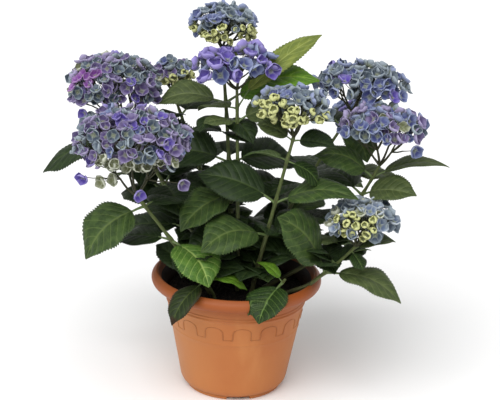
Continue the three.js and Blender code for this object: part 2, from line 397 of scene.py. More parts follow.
leafSet = {
    "across": 16, "along": 50, "spread": 1.25,               # faces of one blade, drawn to its edges
    "lowAcross": 12, "lowAlong": 30,                         # faces of a blade that grows low down
    "stalkShare": 0.17,                                      # of the whole leaf
    "veins": 7, "veinRise": 0.38, "veinCurve": 1.3, "veinStart": 0.35,
    "bulge": 2.2, "groove": 1.0, "rib": 1.1, "thick": 0.35,  # mm
    "midrib": 1.6, "stalk": 1.7, "fullHalf": 34,             # mm; half the breadth of a grown leaf
    "tooth": 0.105, "toothLean": 0.6,
    # how much leaves differ, by length, half breadth or radians
    "archBy": (0.8, 1.3), "curl": (0.03, 0.13), "sway": (-0.05, 0.05), "twist": (-0.5, 0.5),
    "fold": (0.10, 0.34), "droop": (0.06, 0.30), "ripple": (0.03, 0.08), "waves": (9, 14),
    "seed": 11,
}


def bladeWidth(v):
    # Half breadth along the blade, 1 at the belly, drawn out to a point
    rise, fall, peak = 0.6, 0.72, 0.403
    pointFrom, pointLength, pointNarrow = 0.78, 0.2, 0.4
    body = v**rise * (1 - v) ** fall / peak
    t = np.clip((v - pointFrom) / pointLength, 0, 1)
    return body * (1 - pointNarrow * t * t * (3 - 2 * t))


def makeBladeShape(look):
    shape = gridShell(look["across"], look["along"], look["spread"])
    row = np.round(shape["points"][:, 1] * look["along"])  # every second row ends in a tooth
    shape["point"] = (row % 2 == 1) & (row > 1) & (row < look["along"])
    return shape


def veinPhase(u, v, look):
    # Grows by 1 from one side vein to the next
    rise = look["veinRise"] * np.abs(u) ** look["veinCurve"] * (1 - 0.5 * v)
    return (v - rise) * look["veins"] + look["veinStart"]


rimSet = {"radius": 118.2, "height": 167, "clear": 11.5}  # mm, of the middle of the rolled rim


def clearOfPot(points):
    # Moves points that would run into the rolled rim of the pot out to its surface
    middle, height, clear = (rimSet[key] * mm for key in ("radius", "height", "clear"))
    radius = np.hypot(points[:, 0], points[:, 1])
    out, rise = radius - middle, points[:, 2] - height
    tiny = 1e-6
    away = np.maximum(np.hypot(out, rise), tiny)
    push = np.where(away < clear, clear / away, 1.0)
    points = points.copy()
    points[:, :2] *= ((middle + out * push) / np.maximum(radius, tiny))[:, None]
    points[:, 2] = height + rise * push
    return points


def growBlade(shape, leaf, rng, look):
    u, v, upper = shape["points"].T
    length = np.linalg.norm(leaf["chord"])
    half = leaf["breadth"] / 2
    tooth = (np.abs(u) > 0.999) & shape["point"]
    vv = np.clip(v + np.where(tooth, look["toothLean"] / look["along"], 0.0), 0, 1)
    breadth = bladeWidth(vv) * half * (1 + np.where(tooth, look["tooth"], 0.0))
    share = look["stalkShare"] + (1 - look["stalkShare"]) * vv
    chord, arch = leaf["chord"], leaf["arch"] * rng.uniform(*look["archBy"])
    curl = rng.uniform(*look["curl"]) * length
    sway = rng.uniform(*look["sway"]) * length
    tangent = chord + np.outer(1 - 2 * share, arch)
    twist = rng.uniform(*look["twist"]) * (share - 0.4)
    side0 = leaf["side"]
    face0 = np.cross(side0, unit(chord))
    side = np.outer(np.cos(twist), side0) + np.outer(np.sin(twist), face0)
    face = np.cross(side, tangent)
    face /= np.linalg.norm(face, axis=1)[:, None]
    centre = leaf["root"] + np.outer(share, chord) + np.outer(share * (1 - share), arch)
    centre -= np.outer(curl * np.clip(share - 0.45, 0, 1) ** 2 * 3, face0)  # the far half curls down
    centre += np.outer(sway * np.sin(math.pi * vv), side0)
    fold = rng.uniform(*look["fold"])
    droop = rng.uniform(*look["droop"])
    ripple = rng.uniform(*look["ripple"]) * half
    phase, waves = rng.uniform(*anyTurn), rng.uniform(*look["waves"])
    across = np.abs(u)
    lift = breadth * across * fold - breadth * droop * across**2.2
    lift += ripple * across**3 * np.sin(vv * waves + phase + np.sign(u)) * np.sin(math.pi * vv)
    scale = np.clip(half / (look["fullHalf"] * mm), 0.35, 1.1)
    between = np.abs(np.sin(math.pi * veinPhase(u, vv, look))) ** 0.6  # 0 on a side vein
    # the quilting fades out at the edge, at the midrib and at the tip
    inside = np.clip((1 - across) * 5, 0, 1) * np.clip(across * 7, 0, 1) * np.clip((1 - vv) * 6, 0, 1)
    quilt = look["bulge"] * mm * scale * (between - 0.45) * inside
    middle = np.exp(-((u * breadth) / (look["midrib"] * mm)) ** 2) * (1 - 0.7 * vv)
    lift += quilt - look["groove"] * mm * middle
    lift = np.where(upper > 0.5, lift + look["thick"] * mm, lift - look["rib"] * mm * middle * 1.2)
    return clearOfPot(centre + side * (u * breadth)[:, None] + face * lift[:, None])


def stalkPath(leaf, look):
    # From the cane to a little way under the blade
    overlap, sink, count = 0.05, 0.9 * mm, 5
    share = np.linspace(0.0, look["stalkShare"] + overlap, count)
    path = leaf["root"] + np.outer(share, leaf["chord"]) + np.outer(share * (1 - share), leaf["arch"])
    face = np.cross(leaf["side"], unit(leaf["chord"]))
    return path - np.outer(np.linspace(0, 1, count) ** 2 * sink, face)


def leafMaterial(name, blade, shade, vein, edge=None, gloss=0.46, under=False):
    material, tree, shader = nodeTree(name, gloss, 0.2)
    place, across, along = uvOf(tree, "partUV")
    look = leafSet
    out = outward(tree, across)
    lean = sums(tree, "MULTIPLY", sums(tree, "MULTIPLY_ADD", along, -0.5, 1.0), -look["veinRise"])
    rise = sums(tree, "MULTIPLY", sums(tree, "POWER", out, look["veinCurve"]), lean)
    risen = sums(tree, "ADD", along, rise)
    phase = sums(tree, "MULTIPLY_ADD", risen, float(look["veins"]), look["veinStart"])
    off = sums(tree, "PINGPONG", phase, 0.5)  # 0 on a side vein, a half between two
    sideVein = fade(tree, off, 0.015, 0.085, 1.0, 0.0)
    midrib = fade(tree, out, 0.02, 0.07, 1.0, 0.0)
    net = addNode(tree, "ShaderNodeTexVoronoi", {"feature": "DISTANCE_TO_EDGE"},
                  Vector=stretch(tree, place, (1.0, 2.2, 1.0)), Scale=17.0)
    net = fade(tree, net.outputs["Distance"], 0.0, 0.09, 1.0, 0.0)  # the finest veins
    cloud = clouds(tree, place, 5.0, 3.0)
    colour = blend(tree, fade(tree, cloud, 0.36, 0.6), blade, shade)
    colour = blend(tree, fade(tree, off, 0.12, 0.45, 0.0, 0.35), colour, shade)
    colour = blend(tree, sums(tree, "MULTIPLY", net, 0.22), colour, vein)
    colour = blend(tree, sums(tree, "MULTIPLY", sideVein, 0.62), colour, vein)
    colour = blend(tree, sums(tree, "MULTIPLY", midrib, 0.9), colour, vein)
    if edge:
        rim = fade(tree, sums(tree, "MULTIPLY_ADD", cloud, 0.5, out), 0.95, 1.25)
        tip = fade(tree, sums(tree, "MULTIPLY_ADD", cloud, 0.16, along), 0.92, 0.99)
        colour = blend(tree, sums(tree, "MAXIMUM", sums(tree, "MULTIPLY", rim, 0.5), tip), colour, edge)
    height = sums(tree, "MULTIPLY_ADD", net, 0.35, sums(tree, "MAXIMUM", sideVein, midrib))
    if not under:
        height = sums(tree, "MULTIPLY", height, -1.0)  # veins are sunk above and raised below
    finishLook(tree, shader, colour, height, 0.5, 0.0006)
    return material


leafTints = {
    # blade, shade between the veins, vein, brown edge
    "deep": ((0.021, 0.040, 0.011), (0.012, 0.025, 0.007), (0.044, 0.070, 0.020), None),
    "mid": ((0.054, 0.096, 0.021), (0.025, 0.050, 0.012), (0.105, 0.150, 0.042), None),
    "clear": ((0.085, 0.175, 0.024), (0.044, 0.110, 0.015), (0.270, 0.370, 0.100), None),
    "veined": ((0.015, 0.038, 0.006), (0.009, 0.024, 0.004), (0.110, 0.180, 0.042), None),
    "olive": ((0.080, 0.108, 0.034), (0.046, 0.068, 0.021), (0.130, 0.165, 0.060), None),
    "bright": ((0.105, 0.230, 0.016), (0.066, 0.155, 0.011), (0.220, 0.350, 0.045), None),
    "lime": ((0.200, 0.240, 0.044), (0.120, 0.160, 0.030), (0.290, 0.340, 0.095), None),
    "worn": ((0.018, 0.031, 0.007), (0.012, 0.021, 0.005), (0.070, 0.098, 0.024), (0.030, 0.016, 0.006)),
}
underside = {"blade": (0.105, 0.145, 0.062), "vein": (0.17, 0.23, 0.095), "share": 0.55, "shade": 0.85}
leafMaterials, tintCells = [], {}
for index, (tint, (blade, shade, vein, edge)) in enumerate(leafTints.items()):
    part = underside["share"]
    pale = tuple((1 - part) * a + part * b for a, b in zip(blade, underside["blade"]))
    paleShade = tuple(c * underside["shade"] for c in pale)
    tintCells[tint] = index
    leafMaterials.append(leafMaterial("leafUpper_" + tint, blade, shade, vein, edge))
    leafMaterials.append(leafMaterial("leafUnder_" + tint, pale, paleShade, underside["vein"], edge, 0.65,
                                      under=True))


def specks(tree, place, scale, size):
    dots = addNode(tree, "ShaderNodeTexVoronoi", Vector=stretch(tree, place, scale), Scale=size)
    return dots.outputs["Distance"]


def greenStem(name, low, high, spots, roughness=0.5):
    material, tree, shader = nodeTree(name, roughness, 0.4)
    place = uvOf(tree, "partUV")[0]
    grain = clouds(tree, stretch(tree, place, (9.0, 2.0, 1.0)), 2.5, 4.0)
    colour = blend(tree, fade(tree, grain, 0.3, 0.7), low, high)
    dots = specks(tree, place, (6.0, 30.0, 1.0), 1.2)
    colour = blend(tree, fade(tree, dots, 0.16, 0.3, 0.7, 0.0), colour, spots)
    finishLook(tree, shader, colour, grain, 0.4, 0.0004)
    return material


stalkMaterial = greenStem("leafStalk", (0.085, 0.130, 0.040), (0.150, 0.220, 0.070), (0.100, 0.060, 0.045))


rng = random.Random(leafSet["seed"])
bladeShape = makeBladeShape(leafSet)
lowShape = makeBladeShape({**leafSet, "across": leafSet["lowAcross"], "along": leafSet["lowAlong"]})
stalkTube = tubeShape(7, 5)
bladeParts, stalkParts = {"left": [], "right": [], "low": []}, []
# where leaves of each tint grow: mm, and for the steep ones the fall of the chord
tintSet = {
    "young": 62, "crown": 440, "lime": 480, "front": -118, "frontHalf": 60, "steep": -0.45,
    "high": 410, "far": 235, "back": 20, "inner": 95, "innerFront": -60,
    "deepShare": 0.25, "oliveShare": 0.2,
}


def tintFor(leaf, look):
    root, chord = leaf["root"] / mm, leaf["chord"] / mm
    tip, size = root + chord, np.linalg.norm(chord)
    if leaf["cane"].startswith("shoot"):
        return "bright" if size < look["young"] else "worn" if tip[0] < 0 else "veined"
    if tip[2] > look["crown"] and chord[0] > 0:
        return "lime" if tip[2] > look["lime"] else "bright"
    if tip[1] < look["front"] and abs(tip[0]) < look["frontHalf"]:
        return "clear"
    if chord[2] < look["steep"] * size and tip[0] > 0:
        return "veined"
    # leaves high up or far out to the right take the paler olive tint: painted light on their sunlit tops
    if tip[2] > look["high"] or tip[0] > look["far"]:
        return "olive"
    # leaves inside and behind the crown take the dark deep tint as painted shade; others take it at random as
    # a darker tone
    inner = tip[1] > look["back"] or np.hypot(*tip[:2]) < look["inner"] and tip[1] > look["innerFront"]
    if inner or rng.random() < look["deepShare"]:
        return "deep"
    return "olive" if rng.random() < look["oliveShare"] else "mid"


def growLeaf(leaf, tint, where):
    cell = tintCells[tint]
    shape = lowShape if where == "low" else bladeShape
    bladeParts[where].append((shape, growBlade(shape, leaf, rng, leafSet), 2 * cell, cell))
    grown = np.clip(leaf["breadth"] / (56 * mm), 0.5, 1.1)
    radii = [leafSet["stalk"] * mm * grown * part for part in (1.5, 1.05, 0.95, 0.9, 0.6)]
    stalk = alongPath(stalkTube, stalkPath(leaf, leafSet), radii)
    stalkParts.append((stalkTube, clearOfPot(stalk), 0, 0))


def onCane(name, height):
    line = canes[name][0]
    return np.array([np.interp(height, line[:, 2], line[:, i]) for i in range(3)])


lowSet = {
    # mm above the compost, mm long, rise of the chord, radians
    "foot": {"count": 3, "height": (8, 80), "length": (48, 80), "rise": (0.1, 0.7)},
    "screen": {"count": 5, "height": (100, 225), "length": (52, 76), "rise": (-0.3, 0.3), "turn": 2.2},
    "back": {"count": 5, "height": (40, 120), "length": (72, 96), "rise": (-0.1, 0.35), "turn": 2.4,
             "stray": 0.2},
    "roll": 0.4, "arch": 0.42, "breadth": (0.56, 0.68), "seed": 31,
}


def lowLeaf(name, height, turn, group, rng, look):
    length, rise = rng.uniform(*group["length"]) * mm, rng.uniform(*group["rise"])
    chord = np.array([math.cos(turn), math.sin(turn), rise]) * length
    flat = unit(np.cross(chord, up))
    roll = rng.uniform(-look["roll"], look["roll"])
    face = np.cross(flat, unit(chord))
    side = math.cos(roll) * flat + math.sin(roll) * face
    face = math.cos(roll) * face - math.sin(roll) * flat
    return {"root": onCane(name, height), "chord": chord, "arch": face * look["arch"] * length, "side": side,
            "breadth": length * rng.uniform(*look["breadth"]), "cane": name}


def growLowLeaves(look):
    # Short leaves in the shade round the feet of the canes, a few in the middle, and longer ones at the back
    rng = random.Random(look["seed"])
    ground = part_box("potting_soil")[1][2]

    def heightIn(group):
        return ground + rng.uniform(*group["height"]) * mm

    foot, screen, back = look["foot"], look["screen"], look["back"]
    # the leaves round the feet of the canes and in the middle all take the dark deep tint: painted shade
    for name in sorted(n for n in canes if not n.startswith("shoot")):
        for _ in range(foot["count"]):
            height, turn = heightIn(foot), rng.uniform(*anyTurn)
            for side in (0, math.pi):
                growLeaf(lowLeaf(name, height, turn + side, foot, rng, look), "deep", "low")
    for name in ("left_mid", "rear_left", "rear_high"):
        for _ in range(screen["count"]):
            height, turn = heightIn(screen), math.pi + rng.uniform(-screen["turn"], screen["turn"])
            growLeaf(lowLeaf(name, height, turn, screen, rng, look), "deep", "low")
    for name in ("rear_left", "rear_right", "left_mid", "right_far", "rear_high"):
        for k in range(back["count"]):
            height = heightIn(back)
            turn = math.pi / 2 + (k / (back["count"] - 1) - 0.5) * back["turn"]
            turn += rng.uniform(-back["stray"], back["stray"])
            leaf = lowLeaf(name, height, turn, back, rng, look)
            growLeaf(leaf, "mid" if rng.random() < 0.5 else "deep", "low")


for leaf in leaves:
    growLeaf(leaf, tintFor(leaf, tintSet), "left" if (leaf["root"] + leaf["chord"])[0] < 0 else "right")
growLowLeaves(lowSet)


leftNodes = [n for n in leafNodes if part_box(n)[0][0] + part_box(n)[1][0] < 0]
rightNodes = [n for n in leafNodes if n not in leftNodes]
for where, hidden in (("left", leftNodes), ("right", rightNodes), ("low", ())):
    makePiece("leaves_" + where, bladeParts[where], leafMaterials, hidden, cells=(4, 2))
makePiece("leaf_stalks", stalkParts, [stalkMaterial])


caneSet = {
    "sides": 16, "steps": 90, "sunk": 6.0,  # mm into the compost
    "swell": 0.16, "swellTall": 7.0,        # share of the radius and mm, at each leaf
    "ridges": 5, "ridge": 0.045, "seed": 5,
}


def caneMaterial():
    material, tree, shader = nodeTree("caneBark", 0.6, 0.35)
    place, _, along = uvOf(tree, "partUV")
    grain = clouds(tree, stretch(tree, place, (8.0, 14.0, 1.0)), 1.6, 5.0)
    green = blend(tree, fade(tree, grain, 0.3, 0.7), (0.048, 0.066, 0.018), (0.115, 0.150, 0.042))
    brown = blend(tree, fade(tree, grain, 0.3, 0.7), (0.030, 0.032, 0.012), (0.085, 0.088, 0.032))
    low = sums(tree, "MULTIPLY_ADD", grain, 0.4, along)
    colour = blend(tree, fade(tree, low, 0.25, 0.75), brown, green)
    dots = fade(tree, specks(tree, place, (7.0, 60.0, 1.0), 1.0), 0.15, 0.3, 0.75, 0.0)
    colour = blend(tree, dots, colour, (0.085, 0.050, 0.030))
    finishLook(tree, shader, colour, sums(tree, "ADD", grain, dots), 0.5, 0.0005)
    return material


def growCanes(look):
    rng = random.Random(look["seed"])
    tube = tubeShape(look["sides"], look["steps"])
    parts = []
    for index, (name, (middles, radii)) in enumerate(sorted(canes.items())):
        path = middles.copy()
        path[0, 2] -= look["sunk"] * mm
        tall = path[-1, 2] - path[0, 2]
        joints = [(leaf["root"][2] - path[0, 2]) / tall for leaf in leaves if leaf["cane"] == name]
        phases = [rng.uniform(*anyTurn) for _ in range(3)]

        def bulge(share, turn):
            wander = 3 * np.sin(9 * share + phases[1])
            size = 1 + look["ridge"] * np.sin(look["ridges"] * turn + phases[0] + wander)
            size += 0.5 * look["ridge"] * np.sin(70 * share + 2 * turn + phases[2])
            for joint in joints:
                size += look["swell"] * np.exp(-(((share - joint) * tall / (look["swellTall"] * mm)) ** 2))
            return size

        parts.append((tube, alongPath(tube, path, radii, bulge), 0, index))
    hidden = ["cane_" + name for name in canes]
    makePiece("canes", parts, [caneMaterial()], hidden, cells=(4, 4))


growCanes(caneSet)


headSet = {
    "sepal": (4, 6),                                   # faces across and along one sepal
    "thick": 0.45, "base": 0.8, "bud": 1.15,           # mm
    "claw": 0.15, "belly": 0.56, "blunt": 0.03,        # outline of a sepal
    "tilts": (0.14, -0.05), "tiltStray": (-0.2, 0.25),  # radians, of the two pairs of sepals
    "breadth": (1.15, 1.4), "sepalSize": (0.88, 1.12), "turnStray": 0.16,
    "samples": 2600,
    "heart": 0.55, "hollow": 0.62, "skirt": -0.55,     # shares of a head's half size
    "innerShare": 0.72, "innerGap": 1.7,               # a second, looser layer of florets
    "scatter": 0.55, "floretSize": (0.8, 1.15), "closeBy": (0.7, 1.25),
    "sunk": {"centre": 0.85}, "sunkElse": 0.6,         # sepal lengths under the surface
    "sunkStray": (-1.5, 7),                            # mm
    "youngSize": 0.98, "closed": {"young": 0.75, "cream": 0.15},
    "strayBack": 0.45, "straySize": 1.12,
    "seed": 23,
}
# inside at the throat, inside, rim, of each tint; the throat and inside colours are the sepal's deeper colour
# and painted shade in the cup
sepalTints = {
    "blue": ((0.045, 0.056, 0.190), (0.145, 0.180, 0.345), (0.330, 0.375, 0.530)),
    "violet": ((0.080, 0.048, 0.320), (0.175, 0.130, 0.440), (0.340, 0.300, 0.600)),
    "lilac": ((0.080, 0.052, 0.170), (0.200, 0.160, 0.325), (0.400, 0.360, 0.530)),
    "magenta": ((0.150, 0.030, 0.230), (0.270, 0.110, 0.360), (0.440, 0.280, 0.530)),
    "slate": ((0.045, 0.066, 0.105), (0.145, 0.190, 0.235), (0.350, 0.400, 0.440)),
    "pale": ((0.110, 0.150, 0.250), (0.290, 0.350, 0.430), (0.540, 0.590, 0.630)),
    "cream": ((0.150, 0.165, 0.075), (0.350, 0.375, 0.250), (0.560, 0.580, 0.500)),
    "young": ((0.300, 0.320, 0.090), (0.430, 0.450, 0.150), (0.600, 0.620, 0.300)),
}
# Each head: tints by share, gap between florets and sepal length in mm, how far the sepals close,
# and which side has a tint of its own: (tint, direction, share of the head)
headLooks = {
    "rear_high": ({"slate": 6, "blue": 4}, 11.4, 11.6, 0.92, ("young", (0.15, -0.3, -1.0), 0.24)),
    "centre": ({"violet": 7, "blue": 3}, 20.0, 17.0, 0.95, None),
    "left_far": ({"lilac": 5, "slate": 5, "violet": 1, "cream": 1}, 11.8, 12.0, 0.95,
                 ("magenta", (-0.75, -0.5, 0.45), 0.03)),
    "left_mid": ({"slate": 5, "lilac": 2, "blue": 1}, 12.4, 12.2, 0.95, ("young", (0.2, -0.3, -1.0), 0.28)),
    "left_front": ({"lilac": 9, "violet": 1, "slate": 4, "blue": 1}, 11.5, 11.7, 0.97,
                   ("cream", (0.0, -0.8, -1.0), 0.07)),
    "right_front": ({"slate": 5, "blue": 4}, 12.6, 12.9, 0.95, ("young", (-0.4, -1.0, -0.5), 0.3)),
    "right_far": ({"blue": 6, "slate": 5, "violet": 1}, 14.2, 13.6, 0.98, None),
    "right_low": ({"blue": 5, "slate": 2, "lilac": 3, "cream": 1}, 13.4, 13.0, 0.98, None),
    "low_right": ({"pale": 6, "slate": 3, "cream": 2}, 12.2, 12.2, 0.95, ("young", (-0.1, -0.8, 0.1), 0.12)),
    "rear_left": ({"lilac": 4, "violet": 3, "blue": 2}, 14.2, 13.8, 0.92, None),
    "rear_right": ({"blue": 5, "slate": 3, "violet": 2}, 14.2, 13.8, 0.92, None),
}
# lowest florets of a head, as a share of its half height
skirts = {"centre": -0.3, "right_far": -0.12, "left_far": -0.3, "right_front": -0.75, "left_front": -0.8,
          "right_low": -0.25}
# florets that hang below a head on their own stalk: mm to the side and up from its middle, and tint
strays = {
    "left_front": ((-63, -48, "violet"), (-36, -54, "cream"), (-20, -50, "cream"), (12, -70, "violet"),
                   (72, -52, "lilac")),
    "left_far": ((-26, -40, "slate"), (-38, -37, "violet")),
    "right_low": ((44, -30, "blue"),),
}


def sepalMaterials(tint):
    made = []
    throat, body, rim = sepalTints[tint]
    for side in ("Inside", "Outside"):
        material, tree, shader = nodeTree("sepal" + side + "_" + tint, 0.55, 0.35)
        place, across, along = uvOf(tree, "partUV")
        edge = sums(tree, "MAXIMUM", outward(tree, across), along)
        fan = sums(tree, "PINGPONG", sums(tree, "MULTIPLY", across, 9.0), 0.5)
        fan = fade(tree, fan, 0.0, 0.16, 0.3, 0.0)  # veins that run out from the claw
        cloud = clouds(tree, place, 3.0, 2.0)
        worn = sums(tree, "MULTIPLY_ADD", cloud, 0.5, sums(tree, "SUBTRACT", edge, 0.25))
        # the inside is painted darker than the outside and darkest at the throat: the sepal's own deeper
        # colour and painted shade in the cup
        if side == "Inside":
            colour = blend(tree, fade(tree, along, 0.25, 0.75), throat, body)
            colour = blend(tree, fade(tree, along, 0.06, 0.24, 0.55, 0.0), colour, (0.42, 0.46, 0.28))
            colour = blend(tree, fan, colour, throat)
            colour = blend(tree, fade(tree, worn, 0.3, 1.05, 0.0, 0.5), colour, rim)
        else:
            pale = tuple(0.5 * a + 0.5 * b for a, b in zip(body, rim))
            colour = blend(tree, fade(tree, along, 0.05, 0.5), (0.300, 0.340, 0.200), pale)
            colour = blend(tree, fan, colour, body)
            colour = blend(tree, fade(tree, worn, 0.4, 1.0, 0.0, 0.5), colour, rim)
        finishLook(tree, shader, colour, fan, 0.35, 0.0004)
        made.append(material)
    return made


def plainMaterial(name, colour, roughness):
    material, tree, shader = nodeTree(name, roughness, 0.4)
    cloud = clouds(tree, objectPlace(tree), 400.0, 2.0)
    darker = tuple(0.7 * c for c in colour)
    finishLook(tree, shader, blend(tree, fade(tree, cloud, 0.35, 0.65), darker, colour))
    return material


def growSepal(shape, length, width, close, tilt, look):
    # One cupped sepal from its claw outwards, in the floret's own frame: x across, y out, z up
    def curl(v):
        return tilt + close * (0.25 * v + 1.5 * v**1.7)          # how far it has curled in

    u, v, upper = shape["points"].T
    v = 1 - (1 - v) ** 1.3                                       # shorter faces near the claw
    claw, belly = look["claw"], look["belly"]
    tip = np.sqrt(np.maximum(look["blunt"], 1 - np.clip((v - belly) / (1 - belly), 0, 1) ** 2))
    half = width / 2 * (claw + (1 - claw) * np.sin(np.clip(v / belly, 0, 1) * math.pi / 2) ** 1.15) * tip
    bend = 0.2 + 0.95 * close * np.clip(v * 1.6, 0, 1)           # how far the rims roll up
    steps = 40
    rows = np.linspace(0, 1, steps + 1)
    stride, rowTurn = length / steps, curl(rows[1:])
    out = np.interp(v, rows, np.concatenate([[0], np.cumsum(np.cos(rowTurn) * stride)]))
    rise = np.interp(v, rows, np.concatenate([[0], np.cumsum(np.sin(rowTurn) * stride)]))
    radius, angle, turn = half / bend, u * bend, curl(v)
    side = (upper - 0.5) * look["thick"] * mm
    lift = radius * (1 - np.cos(angle)) + side * np.cos(angle)
    x = (radius - side) * np.sin(angle)
    return np.stack([x, look["base"] * mm + out - np.sin(turn) * lift, rise + np.cos(turn) * lift], 1)


def frameOf(direction, roll):
    guide = up if abs(direction[2]) < 0.9 else np.array([1.0, 0.0, 0.0])
    a = unit(np.cross(guide, direction))
    b = np.cross(direction, a)
    cos, sin = math.cos(roll), math.sin(roll)
    return np.stack([cos * a + sin * b, cos * b - sin * a, direction])


def surfacePoints(node, count, rng):
    # Seeded points all over a node's mesh
    bm = cadMesh(node)
    bmesh.ops.triangulate(bm, faces=bm.faces[:])
    corners = np.array([placesOf(f.verts) for f in bm.faces])
    areas = np.array([f.calc_area() for f in bm.faces])
    bm.free()
    draw = np.random.default_rng(rng.randrange(10**6))
    pick = draw.choice(len(areas), count, p=areas / areas.sum())
    a, b = np.sqrt(draw.random(count)), draw.random(count)
    weights = np.stack([1 - a, a * (1 - b), a * b], 1)
    return np.einsum("ij,ijk->ik", weights, corners[pick])


def spreadOut(points, gap):
    # Farthest-point order until the next one would be nearer than the gap
    chosen = [int(np.argmax(points[:, 2]))]
    away = np.linalg.norm(points - points[chosen[0]], axis=1)
    while away.max() > gap:
        chosen.append(int(np.argmax(away)))
        away = np.minimum(away, np.linalg.norm(points - points[chosen[-1]], axis=1))
    return chosen


def placeFlorets(name, rng, look):
    # Place, direction, tint, sepal length and closing of each floret of a head
    tints, gap, length, close, patch = headLooks[name]
    node = "head_" + name
    low, high = (np.array(c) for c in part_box(node))
    points = surfacePoints(node, look["samples"], rng)
    middle = (low + high) / 2
    reach = np.hypot(*(points - middle)[:, :2].T)
    middle[2] = points[reach > 0.9 * reach.max(), 2].mean()  # the height at which the head is widest
    half = high - middle
    heart = middle - look["heart"] * half * up
    flat = (points - middle) / half
    free = (np.hypot(flat[:, 0], flat[:, 1]) > look["hollow"]) | (flat[:, 2] > 0)
    points = points[(flat[:, 2] > skirts.get(name, look["skirt"])) & free]
    inner = middle + (points - middle) * look["innerShare"]
    spots = list(points[spreadOut(points, gap * mm)])
    spots += list(inner[spreadOut(inner, gap * look["innerGap"] * mm)])
    if patch:
        patchTint, direction, patchShare = patch
        side, fray = unit(np.array(direction)), 0.3 if patchShare > 0.1 else 0.1
        limit = np.quantile((points - middle) / half @ side, 1 - patchShare)
    florets = []
    for point in spots:
        away = unit((point - heart) / half**0.6)
        away = unit(away + np.array([rng.uniform(-look["scatter"], look["scatter"]) for _ in range(3)]))
        tint = rng.choices(list(tints), weights=list(tints.values()))[0]
        if patch and (point - middle) / half @ side + rng.uniform(-1, 1) * fray > limit:
            tint = patchTint
        sunk = (look["sunk"].get(name, look["sunkElse"]) * length + rng.uniform(*look["sunkStray"])) * mm
        size = length * mm * rng.uniform(*look["floretSize"])
        if tint == "young":
            size *= look["youngSize"]
        shut = close * rng.uniform(*look["closeBy"]) + look["closed"].get(tint, 0)
        florets.append((point - away * sunk, away, tint, size, shut))
    for across, rise, tint in strays.get(name, ()):
        place = middle + np.array([across * mm, -look["strayBack"] * half[1], rise * mm])
        away = unit(np.array([0.6 * math.copysign(1, across), -1.0, rng.uniform(-0.5, 0.2)]))
        florets.append((place, away, tint, look["straySize"] * length * mm, close))
    return florets


def growFloret(floret, shape, bud, looks, cells, rng, look):
    parts = []
    place, away, tint, length, shut = floret
    roll = rng.uniform(*anyTurn)
    for index in range(4):
        turn = roll + index * math.pi / 2 + rng.uniform(-look["turnStray"], look["turnStray"])
        size = length * rng.uniform(*look["sepalSize"])
        tilt = look["tilts"][index % 2] + rng.uniform(*look["tiltStray"])
        local = growSepal(shape, size, size * rng.uniform(*look["breadth"]), shut, tilt, look)
        parts.append((shape, place + local @ frameOf(away, turn), looks[tint], cells[tint]))
    middle = (bud["points"] + 0.7 * up) * look["bud"] * mm
    parts.append((bud, place + middle @ frameOf(away, roll), looks["bud"], cells["bud"]))
    return parts


def ballShape(around, rings):
    bm = bmesh.new()
    bmesh.ops.create_uvsphere(bm, u_segments=around, v_segments=rings, radius=1)
    shape = arraysOf(bm)
    bm.free()
    corner = shape["points"][shape["corners"]]
    shape["uv"] = (corner[:, :2] + 1) / 2
    splitBake(shape, shape["normals"][:, 2] < 0, 0.48)
    return shape


twigSet = {
    "main": (2.2, 1.7, 1.5), "branch": (1.45, 1.15, 1.05), "tip": (0.85, 0.6, 0.55),  # mm, radii
    "sag": {"main": 0.06, "branch": 0.05, "tip": 0.04}, "wander": 0.05,
    "hubs": 0.78, "branches": 0.36,     # how far apart, by the width of the head
    "fork": 0.42, "split": 0.5,         # where they part
    "sides": 5, "steps": 4,
}


def twig(tube, start, end, kind, rng, look):
    reach = np.linalg.norm(end - start)
    wander = np.array([rng.uniform(-1, 1), rng.uniform(-1, 1), 0.0]) * look["wander"] * reach
    middle = (start + end) / 2 + wander - look["sag"][kind] * up * reach
    return (tube, alongPath(tube, [start, middle, end], [r * mm for r in look[kind]]), 0, 0)


def grouped(points, gap):
    # The points in groups, each round one that stands at least the gap from the others
    chosen = points[spreadOut(points, gap)]
    owner = np.argmin(np.linalg.norm(points[:, None] - chosen[None], axis=2), axis=1)
    return [points[owner == k] for k in range(len(chosen))]


def growPeduncles(foot, bases, rng, tube, look):
    # Twigs that fork twice on the way from the top of the cane to the florets
    parts = []
    bases = np.array(bases)
    span = np.linalg.norm(bases - bases.mean(0), axis=1).max()
    for group in grouped(bases, span * look["hubs"]):
        fork = foot + (group.mean(0) - foot) * look["fork"]
        parts.append(twig(tube, foot, fork, "main", rng, look))
        for members in grouped(group, span * look["branches"]):
            split = fork + (members.mean(0) - fork) * look["split"]
            parts.append(twig(tube, fork, split, "branch", rng, look))
            parts += [twig(tube, split, member, "tip", rng, look) for member in members]
    return parts


def growHeads(look):
    rng = random.Random(look["seed"])
    sepal = gridShell(*look["sepal"])
    bud, tube = ballShape(6, 4), tubeShape(twigSet["sides"], twigSet["steps"])
    budMaterial = plainMaterial("floretEye", (0.36, 0.40, 0.27), 0.6)
    made, twigs = {}, []
    for name in headLooks:
        florets = placeFlorets(name, rng, look)
        looks, cells, materials = {}, {}, []
        for index, tint in enumerate(sorted({floret[2] for floret in florets})):
            if tint not in made:
                made[tint] = sepalMaterials(tint)
            looks[tint], cells[tint] = len(materials), index
            materials += made[tint]
        looks["bud"], cells["bud"] = len(materials), len(cells)
        materials.append(budMaterial)
        parts = [p for f in florets for p in growFloret(f, sepal, bud, looks, cells, rng, look)]
        makePiece("florets_" + name, parts, materials, ["head_" + name], cells=(3, 2))
        bases = [place - away * 0.5 * mm for place, away, *_ in florets]
        twigs += growPeduncles(canes[name][0][-1], bases, rng, tube, twigSet)
    twigMaterial = greenStem("peduncle", (0.020, 0.020, 0.009), (0.060, 0.064, 0.024), (0.030, 0.016, 0.011),
                             0.6)
    makePiece("peduncles", twigs, [twigMaterial])


growHeads(headSet)


